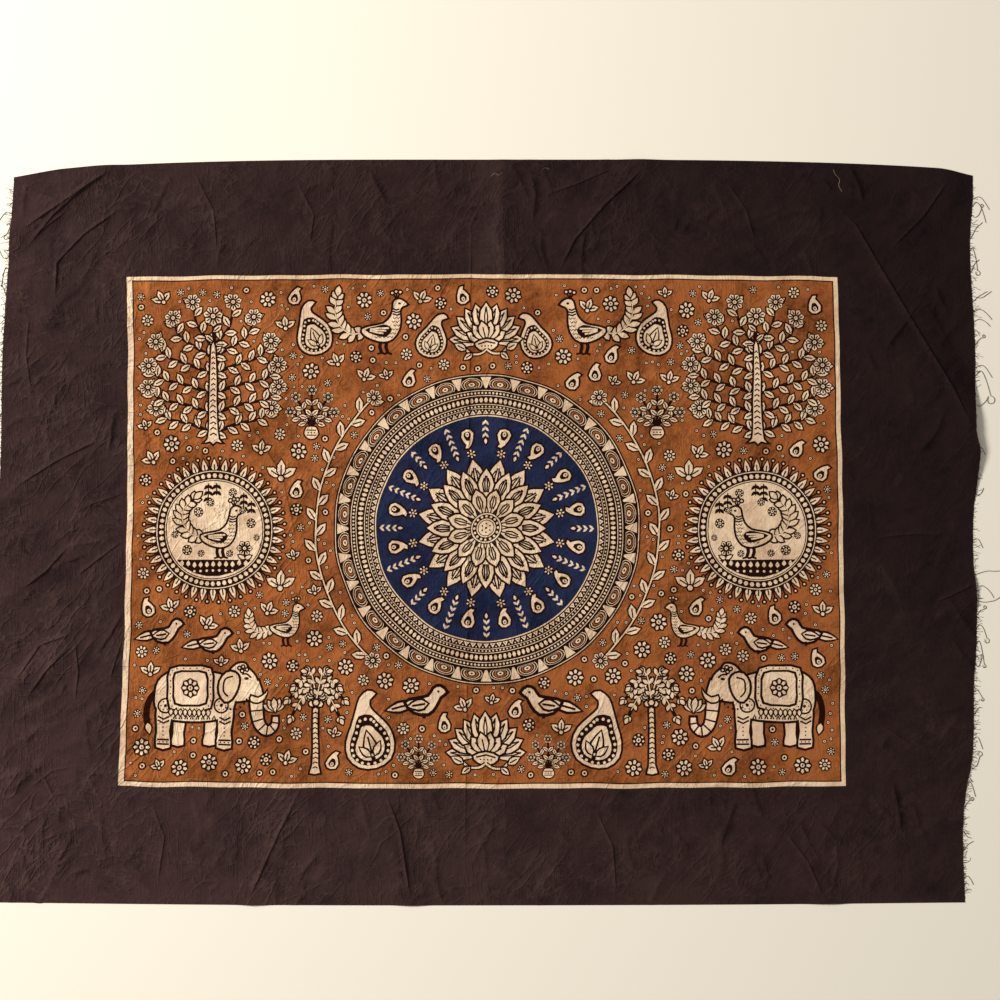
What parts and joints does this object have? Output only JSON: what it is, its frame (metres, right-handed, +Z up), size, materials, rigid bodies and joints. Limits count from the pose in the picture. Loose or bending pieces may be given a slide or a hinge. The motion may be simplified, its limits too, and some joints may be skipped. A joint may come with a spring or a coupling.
{
  "type": "mata ni pachedi shrine cloth",
  "caption": "Painted and dyed cotton shrine cloth with a dark border and a round middle medallion, laid out flat with two raw edges.",
  "frame": {"origin": "on the surface the cloth lies on, under the middle of its outer box, loose threads included", "axes": "+X along the long side towards the more frayed raw edge, +Y towards the top edge, +Z up out of the printed face"},
  "size_m": [1.2562, 0.9251, 0.0097],
  "materials": {
    "cloth": "matte",
    "threads": "matte"
  },
  "bodies": {
    "root": {"cloth": "cloth", "fray_left": "threads", "fray_right": "threads"}
  },
  "joints": []
}
